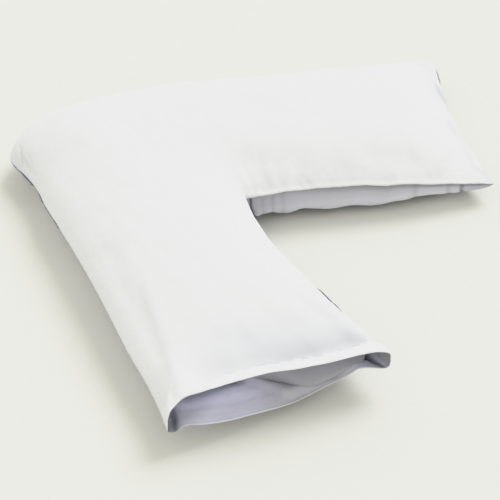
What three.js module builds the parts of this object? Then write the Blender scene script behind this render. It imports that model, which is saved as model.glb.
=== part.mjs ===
import * as THREE from "three";

// A filled V shaped pillow in a white cotton case with one open end, lying on its back.
// Sizes are in millimetres. From the outer corner one arm runs to +X and ends closed,
// and the other runs to -Y and ends in the open mouth of the case.
//
// A point of the flat pattern is (p, q): p is its distance from the left seam and q its
// distance from the far seam. The closed arm is the strip q < ARM, the open arm p < ARM,
// and the notch corner, where the inner seams of the two arms meet, is (ARM, ARM).

const LEG = 790; // each arm, from the outer corner to its end, as sewn
const ARM = 335; // each arm, from seam to seam
const CORNER_RADIUS = 130; // rounding of the outer corner
const PILLOW_INSET = 14; // the pillow stops this far short of the seams
const PILLOW_END = 742; // the pillow's end in the open arm, short of the mouth
const HEM = 24; // width of the turned hem at the mouth

const CLOTH = 1.6; // one panel of the case
const HEM_CLOTH = 2.4; // the hem is turned twice and is thicker
const STEEPEST = 2.2; // a steep panel is at most this many times as thick, measured upright
const TOUCHING = 0.3; // gap between pieces that touch

const SIDE_SWELL = 150; // the top panel reaches its crown this far from a seam
const END_SWELL = 135; // the same, from the closed end
const MOUTH_SWELL = 30; // the same at the mouth, where the hem stands up off its side seams
const MOUTH_REACH = 190; // length of the open arm over which the mouth takes effect
const FLAT_INSET = 45; // the underside lies flat on the floor this far from its seams
const LIP_REACH = 150; // the underside leaves the floor this far from the mouth
const PILLOW_ROUND = 80; // length over which the pillow's end rounds off
const PILLOW_RIM = 0.16; // share of its height that the pillow keeps at its very end

// The seams as they lie: along is the distance down the seam on the pattern, from the end
// nearer the outer corner, x or y where the drawn-in seam lies, and z how high it is held.
const LEFT_SEAM = [
  { along: 0, x: -24, z: 42 },
  { along: 75, x: -29, z: 42 },
  { along: 130, x: -9, z: 45 },
  { along: 180, x: 3, z: 49 },
  { along: 240, x: 9, z: 54 },
  { along: 335, x: 20, z: 59 },
  { along: 480, x: 34, z: 60 },
  { along: 620, x: 44, z: 57 },
  { along: 720, x: 55, z: 50 },
  { along: 790, x: 59, z: 40 },
];
const FAR_SEAM = [
  { along: 0, y: -5, z: 42 },
  { along: 110, y: 3, z: 48 },
  { along: 240, y: 10, z: 56 },
  { along: 340, y: -1, z: 59 },
  { along: 420, y: -18, z: 60 },
  { along: 520, y: -33, z: 58 },
  { along: 620, y: -41, z: 54 },
  { along: 720, y: -38, z: 46 },
  { along: 790, y: -27, z: 37 },
];
const OPEN_ARM_INNER_SEAM = [
  { along: 335, x: 328, z: 66 },
  { along: 400, x: 324, z: 67 },
  { along: 475, x: 329, z: 67 },
  { along: 560, x: 347, z: 66 },
  { along: 680, x: 376, z: 65 },
  { along: 750, x: 396, z: 65 },
  { along: 790, x: 407, z: 61 },
];
const CLOSED_ARM_INNER_SEAM = [
  { along: 335, y: -362, z: 66 },
  { along: 430, y: -371, z: 68 },
  { along: 530, y: -389, z: 66 },
  { along: 640, y: -409, z: 58 },
  { along: 740, y: -420, z: 44 },
  { along: 790, y: -424, z: 35 },
];
const CLOSED_END_SEAM = [
  { along: 0, x: 828, z: 37 },
  { along: 60, x: 805, z: 41 },
  { along: 120, x: 786, z: 45 },
  { along: 200, x: 767, z: 46 },
  { along: 280, x: 761, z: 42 },
  { along: 335, x: 764, z: 35 },
];
// Across the mouth from left to right: where the top hem's edge and the underside's lip lie,
// and how high each is held.
const MOUTH = [
  { across: 0, hemY: -806, hem: 66, lipY: -806, lip: 36 },
  { across: 15, hemY: -797, hem: 84, lipY: -809, lip: 35 },
  { across: 60, hemY: -794, hem: 91, lipY: -808, lip: 31 },
  { across: 130, hemY: -793, hem: 93, lipY: -804, lip: 26 },
  { across: 195, hemY: -796, hem: 91, lipY: -796, lip: 22 },
  { across: 245, hemY: -796, hem: 89, lipY: -788, lip: 29 },
  { across: 285, hemY: -794, hem: 87, lipY: -790, lip: 45 },
  { across: 335, hemY: -799, hem: 80, lipY: -799, lip: 55 },
];
// Height of the crown down the middle of each arm.
const OPEN_ARM_CROWN = [
  { along: 0, z: 122 },
  { along: 335, z: 124 },
  { along: 500, z: 122 },
  { along: 640, z: 114 },
  { along: 790, z: 100 },
];
const CLOSED_ARM_CROWN = [
  { along: 0, z: 122 },
  { along: 335, z: 124 },
  { along: 500, z: 121 },
  { along: 640, z: 112 },
  { along: 790, z: 92 },
];
// The main soft hollows of the top panel. Each is longest along its turn, in degrees from
// +p towards +q, and fades out over its length and width.
const HOLLOWS = [
  { p: 180, q: 726, length: 150, width: 34, turn: -4, depth: 9 },
  { p: 285, q: 690, length: 70, width: 30, turn: -30, depth: 7 },
  { p: 395, q: 292, length: 90, width: 26, turn: 4, depth: 6 },
  { p: 600, q: 300, length: 60, width: 24, turn: 12, depth: 5 },
  { p: 738, q: 70, length: 60, width: 26, turn: 70, depth: 6 },
  { p: 748, q: 215, length: 70, width: 24, turn: 60, depth: 6 },
  { p: 62, q: 640, length: 150, width: 24, turn: 86, depth: 5 },
];

// Grid lines of the pattern: close together by the seams, where the cloth curves most.
const ACROSS = [0, 5, PILLOW_INSET, 28, 50, 82, 122, ARM / 2];
const ACROSS_ARM = [...ACROSS, ...ACROSS.slice(0, -1).reverse().map((inset) => ARM - inset)];
const AFTER_NOTCH = [350, 370, 398, 432, 470, 510, 550, 590, 630];
const CLOSED_END_INSETS = [122, 90, 64, 44, 28, PILLOW_INSET, 5, 0];
const LINES_P = [...ACROSS_ARM, ...AFTER_NOTCH, ...CLOSED_END_INSETS.map((inset) => LEG - inset)];
const LINES_Q = [...ACROSS_ARM, ...AFTER_NOTCH, 664, 692, 714, 730, PILLOW_END, LEG - HEM, LEG];
const ARM_CELLS = ACROSS_ARM.length - 1;

const COTTON_WHITE = { color: 0xf1f2f2, roughness: 0.9, metalness: 0 };
const COTTON_LILAC = { color: 0xc9c9d3, roughness: 0.9, metalness: 0 };
const PILLOW_WHITE = { color: 0xe6e6e6, roughness: 0.95, metalness: 0 };

const clamp = THREE.MathUtils.clamp;
const lerp = THREE.MathUtils.lerp;

// The value of one column at a place, on a smooth curve through the table's rows.
function read(rows, column, at, place = "along") {
  const last = rows.length - 1;
  const here = clamp(at, rows[0][place], rows[last][place]);
  let i = 0;
  while (i < last - 1 && rows[i + 1][place] < here) i += 1;
  const slope = (k) => {
    const before = rows[Math.max(k - 1, 0)];
    const after = rows[Math.min(k + 1, last)];
    return (after[column] - before[column]) / (after[place] - before[place]);
  };
  const span = rows[i + 1][place] - rows[i][place];
  const t = (here - rows[i][place]) / span;
  const share = 3 * t ** 2 - 2 * t ** 3;
  const leaving = (t ** 3 - 2 * t ** 2 + t) * span * slope(i);
  const arriving = (t ** 3 - t ** 2) * span * slope(i + 1);
  return lerp(rows[i][column], rows[i + 1][column], share) + leaving + arriving;
}

// Rises from 0 at a seam to 1 at its reach, as a quarter of an ellipse: upright at first.
function swell(inset, reach) {
  const t = clamp(inset / reach, 0, 1);
  return Math.sqrt(1 - (1 - t) ** 2);
}

// How far a pattern point is from each seam.
function insets(p, q) {
  const notch = Math.hypot(Math.max(ARM - p, 0), Math.max(ARM - q, 0));
  return { left: p, far: q, notch, end: LEG - p };
}

// Rounds the outer corner by pressing its square of pattern into a quarter circle.
function roundCorner(p, q) {
  const a = Math.max(1 - p / CORNER_RADIUS, 0);
  const b = Math.max(1 - q / CORNER_RADIUS, 0);
  const pull = (near, other) => CORNER_RADIUS * near * (1 - Math.sqrt(1 - other ** 2 / 2));
  return [p + pull(a, b), q + pull(b, a)];
}

// Where a pattern point lies on the floor plan. Between the drawn-in seams it is spread evenly,
// and past the pillow's end the panels part towards their own edge of the mouth.
function plan(patternP, patternQ, mouthEdge) {
  const [p, q] = roundCorner(patternP, patternQ);
  const notchX = OPEN_ARM_INNER_SEAM[0].x;
  const notchY = CLOSED_ARM_INNER_SEAM[0].y;
  const leftX = read(LEFT_SEAM, "x", q);
  const farY = read(FAR_SEAM, "y", p);
  const innerX = q > ARM ? read(OPEN_ARM_INNER_SEAM, "x", q) : notchX;
  const innerY = p > ARM ? read(CLOSED_ARM_INNER_SEAM, "y", p) : notchY;
  let x = lerp(leftX, innerX, p / ARM);
  let y = lerp(farY, innerY, q / ARM);
  if (p > ARM) x = lerp(notchX, read(CLOSED_END_SEAM, "x", q), (p - ARM) / (LEG - ARM));
  if (q > ARM) {
    const hemY = read(MOUTH, "hemY", p, "across");
    y = lerp(notchY, hemY, (q - ARM) / (LEG - ARM));
    y += (read(MOUTH, mouthEdge, p, "across") - hemY) * mouthShare(q, LEG - PILLOW_END);
  }
  return [x, y];
}

// Height at which the seams hold the cloth, each seam counting more the nearer it is.
function seamHeight(p, q) {
  const inset = insets(p, q);
  let notchZ = OPEN_ARM_INNER_SEAM[0].z;
  if (q > ARM) notchZ = read(OPEN_ARM_INNER_SEAM, "z", q);
  if (p > ARM) notchZ = read(CLOSED_ARM_INNER_SEAM, "z", p);
  const seams = [
    { away: inset.left, z: read(LEFT_SEAM, "z", q) },
    { away: inset.far, z: read(FAR_SEAM, "z", p) },
    { away: inset.notch, z: notchZ },
    { away: inset.end, z: read(CLOSED_END_SEAM, "z", q) },
  ];
  let total = 0;
  let weights = 0;
  for (const { away, z } of seams) {
    const weight = 1 / (away + 2) ** 2;
    total += weight * z;
    weights += weight;
  }
  return total / weights;
}

// 0 over most of the open arm, rising smoothly to 1 at the mouth.
function mouthShare(q, reach) {
  return THREE.MathUtils.smoothstep(q, LEG - reach, LEG);
}

function hollowDepth(p, q) {
  let depth = 0;
  for (const hollow of HOLLOWS) {
    const turn = THREE.MathUtils.degToRad(hollow.turn);
    const dp = p - hollow.p;
    const dq = q - hollow.q;
    const lengthwise = (dp * Math.cos(turn) + dq * Math.sin(turn)) / hollow.length;
    const crosswise = (dq * Math.cos(turn) - dp * Math.sin(turn)) / hollow.width;
    depth += hollow.depth * Math.exp(-(lengthwise ** 2) - crosswise ** 2);
  }
  return depth;
}

// Inner face of the top panel.
function topInside(p, q) {
  const inset = insets(p, q);
  const open = mouthShare(q, MOUTH_REACH);
  const sideSwell = lerp(SIDE_SWELL, MOUTH_SWELL, open);
  const rise =
    swell(inset.left, sideSwell) *
    swell(inset.far, SIDE_SWELL) *
    swell(inset.notch, sideSwell) *
    swell(inset.end, END_SWELL);
  const openArm = read(OPEN_ARM_CROWN, "z", q);
  const closedArm = read(CLOSED_ARM_CROWN, "z", p);
  const crown = lerp(Math.min(openArm, closedArm), read(MOUTH, "hem", p, "across"), open);
  const seam = seamHeight(p, q) + TOUCHING / 2;
  return seam + rise * (crown - seam - hollowDepth(p, q));
}

// Outer face of the underside panel: flat on the floor away from its seams and the mouth.
function undersideOutside(p, q) {
  const inset = insets(p, q);
  const settle =
    swell(inset.left, FLAT_INSET) *
    swell(inset.far, FLAT_INSET) *
    swell(inset.notch, FLAT_INSET) *
    swell(inset.end, FLAT_INSET);
  const edge = seamHeight(p, q) - TOUCHING / 2 - HEM_CLOTH * STEEPEST;
  const lip = read(MOUTH, "lip", p, "across") * mouthShare(q, LIP_REACH);
  return lerp(edge, lip, settle);
}

// How much longer an upright step through a surface is than a square one.
function steepness(height, p, q) {
  const step = 2;
  const inside = (value) => clamp(value, step, LEG - step);
  const [cp, cq] = [inside(p), inside(q)];
  const alongP = (height(cp + step, cq) - height(cp - step, cq)) / (2 * step);
  const alongQ = (height(cp, cq + step) - height(cp, cq - step)) / (2 * step);
  return Math.min(Math.hypot(1, alongP, alongQ), STEEPEST);
}

function clothThickness(q) {
  return q > LEG - HEM - 1 ? HEM_CLOTH : CLOTH;
}

function topOutside(p, q) {
  return topInside(p, q) + clothThickness(q) * steepness(topInside, p, q);
}

function undersideInside(p, q) {
  return undersideOutside(p, q) + clothThickness(q) * steepness(undersideOutside, p, q);
}

// The pillow fills the case, and rounds off before the mouth about the middle of its height.
function pillowFace(side) {
  return (p, q) => {
    const top = topInside(p, q) - TOUCHING * steepness(topInside, p, q);
    const bottom = undersideInside(p, q) + TOUCHING * steepness(undersideOutside, p, q);
    const middle = lerp(bottom, top, 0.45);
    const full = lerp(PILLOW_RIM, 1, swell(PILLOW_END - q, PILLOW_ROUND));
    return lerp(middle, side === "top" ? top : bottom, full);
  };
}

// One closed solid between two faces over the cells of the V that lie inside the given lines.
// Cells count from the outer corner, and a cell belongs to the V where it lies in either arm.
function vSolid(name, finish, { low, high, from, toP, toQ, armTo, mouthEdge }) {
  const inV = (i, j) => {
    if (i < from || j < from || i >= toP || j >= toQ) return false;
    return i < armTo || j < armTo;
  };
  const positions = [];
  const numbers = new Map();
  const vertex = (i, j, face) => {
    const key = `${i} ${j} ${face}`;
    if (!numbers.has(key)) {
      const [x, y] = plan(LINES_P[i], LINES_Q[j], mouthEdge);
      const height = face === "high" ? high : low;
      numbers.set(key, positions.length / 3);
      positions.push(x, y, height(LINES_P[i], LINES_Q[j]));
    }
    return numbers.get(key);
  };
  const triangles = [];
  for (let i = from; i < toP; i += 1) {
    for (let j = from; j < toQ; j += 1) {
      if (!inV(i, j)) continue;
      const ring = [[i, j], [i, j + 1], [i + 1, j + 1], [i + 1, j]];
      const above = ring.map(([a, b]) => vertex(a, b, "high"));
      const below = ring.map(([a, b]) => vertex(a, b, "low"));
      triangles.push(above[0], above[1], above[2], above[0], above[2], above[3]);
      triangles.push(below[0], below[2], below[1], below[0], below[3], below[2]);
      const beyond = [[i - 1, j], [i, j + 1], [i + 1, j], [i, j - 1]];
      beyond.forEach(([a, b], side) => {
        if (inV(a, b)) return;
        const next = (side + 1) % ring.length;
        triangles.push(below[side], below[next], above[next], below[side], above[next], above[side]);
      });
    }
  }
  const geometry = new THREE.BufferGeometry();
  geometry.setAttribute("position", new THREE.Float32BufferAttribute(positions, 3));
  geometry.setIndex(triangles);
  geometry.computeVertexNormals();
  const mesh = new THREE.Mesh(geometry, new THREE.MeshStandardMaterial(finish));
  mesh.name = name;
  return mesh;
}

const whole = { from: 0, toP: LINES_P.length - 1, toQ: LINES_Q.length - 1, armTo: ARM_CELLS };
const insetCells = ACROSS.indexOf(PILLOW_INSET);
const filled = {
  from: insetCells,
  toP: LINES_P.length - 1 - insetCells,
  toQ: LINES_Q.indexOf(PILLOW_END),
  armTo: ARM_CELLS - insetCells,
};

const pillowInCase = new THREE.Group();
pillowInCase.add(
  vSolid("case_top", COTTON_WHITE, {
    ...whole,
    low: topInside,
    high: topOutside,
    mouthEdge: "hemY",
  }),
  vSolid("case_underside", COTTON_LILAC, {
    ...whole,
    low: undersideOutside,
    high: undersideInside,
    mouthEdge: "lipY",
  }),
  vSolid("pillow", PILLOW_WHITE, {
    ...filled,
    low: pillowFace("bottom"),
    high: pillowFace("top"),
    mouthEdge: "hemY",
  }),
);

// The origin is under the middle of the whole, on the floor.
const box = new THREE.Box3().setFromObject(pillowInCase);
const middle = box.getCenter(new THREE.Vector3());
pillowInCase.position.set(-middle.x, -middle.y, -box.min.z);

export default pillowInCase;
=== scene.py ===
"""A filled V shaped pillow in a white cotton case with one open end, lying flat on a pale floor.

From the outer corner the closed arm runs to +X and the open-mouthed arm to -Y. Every cloth surface is a
function of the flat pattern's two distances: p from the left seam and q from the far seam, in metres.
"""

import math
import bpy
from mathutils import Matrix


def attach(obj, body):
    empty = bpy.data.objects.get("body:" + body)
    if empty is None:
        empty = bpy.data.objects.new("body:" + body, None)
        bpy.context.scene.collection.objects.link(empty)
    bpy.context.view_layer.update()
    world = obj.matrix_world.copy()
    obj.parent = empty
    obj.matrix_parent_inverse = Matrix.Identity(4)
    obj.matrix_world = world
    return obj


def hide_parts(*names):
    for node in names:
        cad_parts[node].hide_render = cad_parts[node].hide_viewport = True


bl_info = {
    "name": "V Shaped Pillow",
    "version": (1, 0, 0),
    "blender": (4, 5, 0),
    "location": "3D View > Sidebar > V Pillow",
    "description": "A filled V shaped pillow in a white cotton case with one open end",
    "category": "Add Mesh",
}

import bpy
import numpy as np
from bpy.props import FloatProperty, FloatVectorProperty, IntProperty, PointerProperty
from mathutils import Vector

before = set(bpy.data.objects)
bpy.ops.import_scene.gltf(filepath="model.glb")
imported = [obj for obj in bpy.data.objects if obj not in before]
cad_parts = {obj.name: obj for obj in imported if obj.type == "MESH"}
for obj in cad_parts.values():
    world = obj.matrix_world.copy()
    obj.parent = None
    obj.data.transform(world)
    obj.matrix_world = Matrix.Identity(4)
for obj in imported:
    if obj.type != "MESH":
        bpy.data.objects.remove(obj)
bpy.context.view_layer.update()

MM = 0.001

# The pattern and how the filled case lies, as in the solids.
LEG = 790 * MM
ARM = 335 * MM
CORNER_RADIUS = 130 * MM
OUTER_CORNER = Vector((-404.84, 399.67, 0)) * MM  # where the pattern's outer corner lies in the frame
SIDE_SWELL = 150 * MM
KNIFE_SWELL = 120 * MM
END_SWELL = 135 * MM
MOUTH_SWELL = 8 * MM
MOUTH_REACH = 190 * MM
FLAT_INSET = 45 * MM
FOOT_INSET = 58 * MM
LIP_REACH = 150 * MM

# How sharply the panels rise or fall from their seams: 0.5 is a quarter ellipse.
SIDE_POWER = 0.58
END_POWER = 0.66
KNIFE_POWER = 0.85
UNDER_POWER = 0.8

# The pillow inside the case, and how it is filled out.
PILLOW_INSET = 14 * MM
PILLOW_END = 742 * MM
PILLOW_ROUND = 80 * MM
PILLOW_GAP = 4 * MM
# Painted shade on the pillow's end in the mouth.
PILLOW_END_SHADE = (0.55, 0.545, 0.60)
VOXEL = 7 * MM
PUFF_FRAMES = 20
PUFF_PRESSURE = 4

# Each hem stitch: its rings and sides, the pitch as a share of its length, its radius and its lift.
STITCH_RINGS = 5
STITCH_SIDES = 6
STITCH_PITCH = 1.25
STITCH_RADIUS = 0.32 * MM
STITCH_LIFT = 0.12 * MM

# The photograph's camera: where it looks, and how it stands off that point in degrees and metres.
LOOK_AT = Vector((318, -416, 0)) * MM + OUTER_CORNER
CAMERA_AZIMUTH = -19.0
CAMERA_ELEVATION = 39.5
CAMERA_DISTANCE = 2.523
CAMERA_LENS = 108
CAMERA_SENSOR = 36

# The floor, the key light and the even pale surround.
FLOOR_HALF = 9.0
KEY_FROM = (0.70, 0.40, 1.0)
KEY_ANGLE = 0.60
KEY_STRENGTH = 1.28
KEY_COLOUR = (0.94, 0.96, 1.0)
SURROUND_STRENGTH = 0.75
SURROUND_COLOUR = (1.0, 0.99, 0.925, 1)

# Light in and light out, where the picture's whites roll off below paper white.
HIGHLIGHTS = (
    (0.25, 0.25), (0.5, 0.505), (0.76, 0.765), (0.85, 0.822), (0.92, 0.843), (1.05, 0.855), (1.4, 0.88),
)


def in_mm(columns, *rows):
    """A table as one array for each named column, its millimetres turned into metres."""
    return dict(zip(columns.split(), np.array(rows, dtype=float).T * MM))


# Each seam: along is the distance down it on the pattern, x or y where it lies, z its height.
LEFT_SEAM = in_mm(
    "along x z",
    (0, -24, 42), (40, -30, 42), (75, -29, 42), (100, -17, 43), (130, -5, 45), (180, 6, 49), (240, 9, 54),
    (335, 20, 59), (480, 34, 60), (620, 44, 57), (720, 55, 51), (790, 57, 45),
)
FAR_SEAM = in_mm(
    "along y z",
    (0, -5, 42), (110, 3, 48), (240, 10, 56), (340, -1, 59), (420, -18, 60),
    (520, -33, 58), (620, -41, 54), (720, -38, 46), (790, -27, 37),
)
OPEN_ARM_INNER_SEAM = in_mm(
    "along x z",
    (335, 328, 66), (400, 324, 67), (475, 329, 67), (560, 347, 66),
    (680, 376, 65), (750, 396, 65), (790, 407, 61),
)
CLOSED_ARM_INNER_SEAM = in_mm(
    "along y z",
    (335, -362, 66), (430, -371, 68), (530, -389, 66), (640, -409, 58), (740, -420, 44), (790, -424, 35),
)
CLOSED_END_SEAM = in_mm(
    "along x z",
    (0, 828, 37), (60, 805, 41), (120, 786, 45), (200, 767, 46), (280, 761, 42), (335, 764, 35),
)
# Across the mouth from left to right: the top hem's edge, then the underside's lip.
MOUTH = in_mm(
    "along hem_y hem_z lip_y lip_z",
    (0, -815, 78, -815, 45), (8, -808, 80, -815, 41), (23, -801, 86.5, -814, 46),
    (34, -799.5, 90, -813, 44), (50, -798, 90.5, -812, 38), (80, -796, 91, -810, 32),
    (130, -794, 93.7, -805, 26), (160, -795, 94, -801, 23), (195, -796, 89, -796, 21.5),
    (250, -796, 86, -788, 31), (280, -794.5, 84.5, -789.5, 45), (291, -794, 84.3, -790, 51),
    (312, -796, 84, -794, 48), (335, -799, 78, -799, 46),
)
OPEN_ARM_CROWN = in_mm("along z", (0, 122), (335, 124), (500, 122), (640, 114), (790, 100))
CLOSED_ARM_CROWN = in_mm("along z", (0, 122), (335, 124), (500, 121), (640, 112), (790, 92))

# Broad soft troughs of the top panel, each along a line on the pattern from (p0, q0) to (p1, q1).
TOP_HOLLOWS = in_mm(
    "p0 q0 p1 q1 width depth",
    (60, 762, 300, 760, 22, 7),
    (150, 712, 300, 690, 30, 7),
    (262, 640, 300, 700, 20, 6),
    (350, 288, 455, 300, 22, 7),
    (560, 296, 650, 308, 22, 7),
    (738, 10, 752, 110, 20, 8),
    (756, 150, 778, 280, 20, 7),
    (36, 430, 30, 700, 18, 4),
)

# Folds: before and after are the widths on the two sides of the line, and a ridge has a depth below 0.
TOP_FOLDS = in_mm(
    "p0 q0 p1 q1 before after depth",
    (18, 82, 4, 116, 1.7, 2.3, 3.0),
    (11, 108, 4, 150, 1.7, 2.3, 2.3),
    (17, 116, 6, 162, 1.8, 2.8, 1.4),
    (64, 560, 30, 765, 16, 10, -3.0),
    (342, 352, 324, 376, 5, 8, 1.4),
    (352, 322, 347, 296, 5, 8, 1.4),
    (372, 326, 380, 286, 6, 9, 1.5),
    (396, 328, 410, 300, 6, 9, 1.2),
    (424, 330, 446, 304, 8, 10, 1.2),
    (620, 330, 642, 300, 8, 12, 1.4),
    (690, 330, 735, 296, 10, 16, 1.8),
    (770, 30, 728, 44, 10, 16, 2.4),
    (778, 118, 736, 124, 12, 16, 2.4),
    (782, 214, 744, 236, 12, 18, 2.8),
    (784, 292, 752, 268, 10, 16, 2.0),
)
# Soft patches of painted shade on the top panel, in its slack hollows: depth is the light lost, in
# hundredths.
TOP_PAINTED_SHADE = in_mm(
    "p0 q0 p1 q1 width depth",
    (752, 4, 770, 24, 10, 9),
    (772, 30, 782, 110, 9, 8),
    (782, 116, 786, 178, 8, 9),
    (776, 205, 774, 285, 12, 10),
    (768, 300, 786, 314, 9, 8),
    (690, 322, 720, 300, 10, 5),
    (390, 322, 372, 300, 8, 4),
    (180, 758, 300, 750, 9, 5),
)
UNDERSIDE_FOLDS = in_mm(
    "p0 q0 p1 q1 before after depth",
    (343, 337, 362, 308, 2.0, 2.4, 6.5),
    (366, 334, 374, 300, 3.0, 3.0, 1.0),
    (384, 334, 388, 304, 3.0, 4.0, 1.2),
    (402, 334, 412, 298, 3.0, 5.0, 0.8),
    (640, 334, 652, 312, 5.0, 5.0, 1.2),
    (702, 334, 716, 318, 3.0, 4.0, 1.4),
    (726, 335, 742, 316, 2.0, 4.0, 4.0),
)
# Folds of the underside where it lies open in the mouth.
LIP_FOLDS = in_mm(
    "p0 q0 p1 q1 before after depth",
    (150, 700, 192, 772, 26, 8, -8.0),
    (205, 716, 222, 770, 10, 10, -4.0),
    (250, 730, 258, 770, 8, 8, 3.0),
    (96, 730, 60, 774, 22, 18, -3.0),
    (22, 735, 12, 788, 5, 5, 4.0),
    (318, 740, 326, 788, 5, 5, 4.0),
)

# Stretches of seam where the underside's turned edge peeps out past the top panel: which seam, from and to
# along it, how far it stands out in x and y, and how far down it is painted dark as shadow.
PEEPS = (
    ("left", 56 * MM, 128 * MM, -1.2 * MM, -1.6 * MM, 8 * MM),
    ("left", 106 * MM, 174 * MM, -2.9 * MM, -4.6 * MM, 12 * MM),
    ("left", 184 * MM, 226 * MM, -2.0 * MM, 0.0, 8 * MM),
    ("left", 206 * MM, 296 * MM, -0.8 * MM, 0.0, 5 * MM),
    ("left", 270 * MM, 306 * MM, -2.0 * MM, 0.0, 9 * MM),
    ("end", 22 * MM, 88 * MM, 4.4 * MM, 0.0, 6 * MM),
    ("inner", 572 * MM, 692 * MM, 6.5 * MM, 2.0 * MM, 4 * MM),
)


class PillowLooks(bpy.types.PropertyGroup):
    """Sizes and colours that a user would change."""

    cloth: FloatProperty(
        name="Cloth", description="Thickness of one panel of the case", default=1.1 * MM, unit="LENGTH"
    )
    hem: FloatProperty(
        name="Hem", description="Width of the turned hem at the mouth", default=24 * MM, unit="LENGTH"
    )
    stitch: FloatProperty(
        name="Stitch", description="Length of one hem stitch", default=2.4 * MM, unit="LENGTH"
    )
    rows_across: IntProperty(
        name="Rows across", description="Grid cells from seam to seam across an arm", default=112
    )
    rows_along: IntProperty(
        name="Rows along", description="Grid cells from the notch to an arm's end", default=144
    )
    white: FloatVectorProperty(
        name="White cotton",
        description="Top panel",
        subtype="COLOR",
        default=(0.885, 0.892, 0.91),
    )
    # The underside and the insides: a darker, lilac tinted copy of the white cotton, painted shade of the
    # faces that turn down and in.
    lilac: FloatVectorProperty(
        name="Lilac grey cotton",
        description="Underside and insides",
        subtype="COLOR",
        default=(0.755, 0.755, 0.84),
    )
    pillow: FloatVectorProperty(
        name="Pillow cover",
        description="Cover of the pillow inside",
        subtype="COLOR",
        default=(0.86, 0.86, 0.86),
    )
    floor: FloatVectorProperty(
        name="Floor",
        description="Pale warm floor",
        subtype="COLOR",
        default=(0.855, 0.858, 0.80),
    )


def read(table, column, at):
    """A column at a distance along, on a cubic curve whose slope at each row joins that row's neighbours."""
    x, y = table["along"], table[column]
    before = np.maximum(np.arange(len(x)) - 1, 0)
    after = np.minimum(np.arange(len(x)) + 1, len(x) - 1)
    slope = (y[after] - y[before]) / (x[after] - x[before])
    here = np.clip(at, x[0], x[-1])
    i = np.clip(np.searchsorted(x, here, side="right") - 1, 0, len(x) - 2)
    span = x[i + 1] - x[i]
    t = (here - x[i]) / span
    share = 3 * t**2 - 2 * t**3
    leaving = (t**3 - 2 * t**2 + t) * span * slope[i]
    arriving = (t**3 - t**2) * span * slope[i + 1]
    return lerp(y[i], y[i + 1], share) + leaving + arriving


def lerp(a, b, share):
    return a + (b - a) * share


def smoothstep(x, low, high):
    """0 below low and 1 above high, with level ends between."""
    t = np.clip((x - low) / (high - low), 0, 1)
    return t * t * (3 - 2 * t)


def swell(inset, reach, power=0.5):
    """Rises from 0 at a seam to 1 at its reach: a quarter ellipse at power 0.5, and a knife edge above it."""
    t = np.clip(inset / reach, 0, 1)
    return (1 - (1 - t) ** 2) ** power


def insets(p, q):
    """Distances on the pattern from the left, far, inner and end seams."""
    inner = np.hypot(np.maximum(ARM - p, 0), np.maximum(ARM - q, 0))
    return p, q, inner, LEG - p


def round_corner(p, q):
    """Presses the outer corner's square of pattern into a quarter circle."""
    a = np.maximum(1 - p / CORNER_RADIUS, 0)
    b = np.maximum(1 - q / CORNER_RADIUS, 0)
    pull_p = CORNER_RADIUS * a * (1 - np.sqrt(1 - b**2 / 2))
    pull_q = CORNER_RADIUS * b * (1 - np.sqrt(1 - a**2 / 2))
    return p + pull_p, q + pull_q


def mouth_share(q, reach):
    """0 over most of the open arm, rising smoothly to 1 at the mouth."""
    return smoothstep(q, LEG - reach, LEG)


def plan(pattern_p, pattern_q, edge):
    """Where a pattern point lies seen from above: spread evenly between the drawn-in seams.
    edge names the column of the mouth that the panel ends on."""
    p, q = round_corner(pattern_p, pattern_q)
    notch_x = OPEN_ARM_INNER_SEAM["x"][0]
    notch_y = CLOSED_ARM_INNER_SEAM["y"][0]
    inner_x = read(OPEN_ARM_INNER_SEAM, "x", q)
    inner_y = read(CLOSED_ARM_INNER_SEAM, "y", p)
    beyond_p = (p - ARM) / (LEG - ARM)
    beyond_q = (q - ARM) / (LEG - ARM)
    x = np.where(
        p > ARM,
        lerp(notch_x, read(CLOSED_END_SEAM, "x", q), beyond_p),
        lerp(read(LEFT_SEAM, "x", q), inner_x, p / ARM),
    )
    hem_y = read(MOUTH, "hem_y", p)
    parted = (read(MOUTH, edge, p) - hem_y) * mouth_share(q, LEG - PILLOW_END)
    y = np.where(
        q > ARM,
        lerp(notch_y, hem_y, beyond_q) + parted,
        lerp(read(FAR_SEAM, "y", p), inner_y, q / ARM),
    )
    return x, y


def seam_height(p, q):
    """Height at which the seams hold the cloth: a mean that counts a seam more the nearer it is."""
    left, far, inner, end = insets(p, q)
    inner_z = np.where(p > ARM, read(CLOSED_ARM_INNER_SEAM, "z", p), read(OPEN_ARM_INNER_SEAM, "z", q))
    heights = (read(LEFT_SEAM, "z", q), read(FAR_SEAM, "z", p), inner_z, read(CLOSED_END_SEAM, "z", q))
    weights = [1 / (away + 2 * MM) ** 2 for away in (left, far, inner, end)]
    wander = 0.8 * MM * ripples(p, q, 60 * MM, 7) + 0.35 * MM * ripples(p, q, 16 * MM, 8)
    return sum(w * z for w, z in zip(weights, heights)) / sum(weights) + wander


def stretch_of(x, low, high, ease):
    """1 from low to high, easing to 0 inside both ends."""
    return smoothstep(x, low, low + ease) * (1 - smoothstep(x, high - ease, high))


def troughs(p, q, table):
    """Depth of a table's soft troughs: a bell curve across each line, fading past its ends."""
    depth = np.zeros_like(p)
    for p0, q0, p1, q1, width, deep in zip(*table.values()):
        across, past = off_line(p, q, p0, q0, p1, q1, width / 2)
        depth += deep * np.exp(-((across / width) ** 2) - (past / width) ** 2)
    return depth


def off_line(p, q, p0, q0, p1, q1, short=0.0):
    """Distance across a line, signed, and how far past its ends a point lies, the ends drawn in by short."""
    length = math.hypot(p1 - p0, q1 - q0)
    along = ((p - p0) * (p1 - p0) + (q - q0) * (q1 - q0)) / length
    across = ((q - q0) * (p1 - p0) - (p - p0) * (q1 - q0)) / length
    return across, np.maximum(np.abs(along - length / 2) - length / 2 + short, 0)


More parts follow.
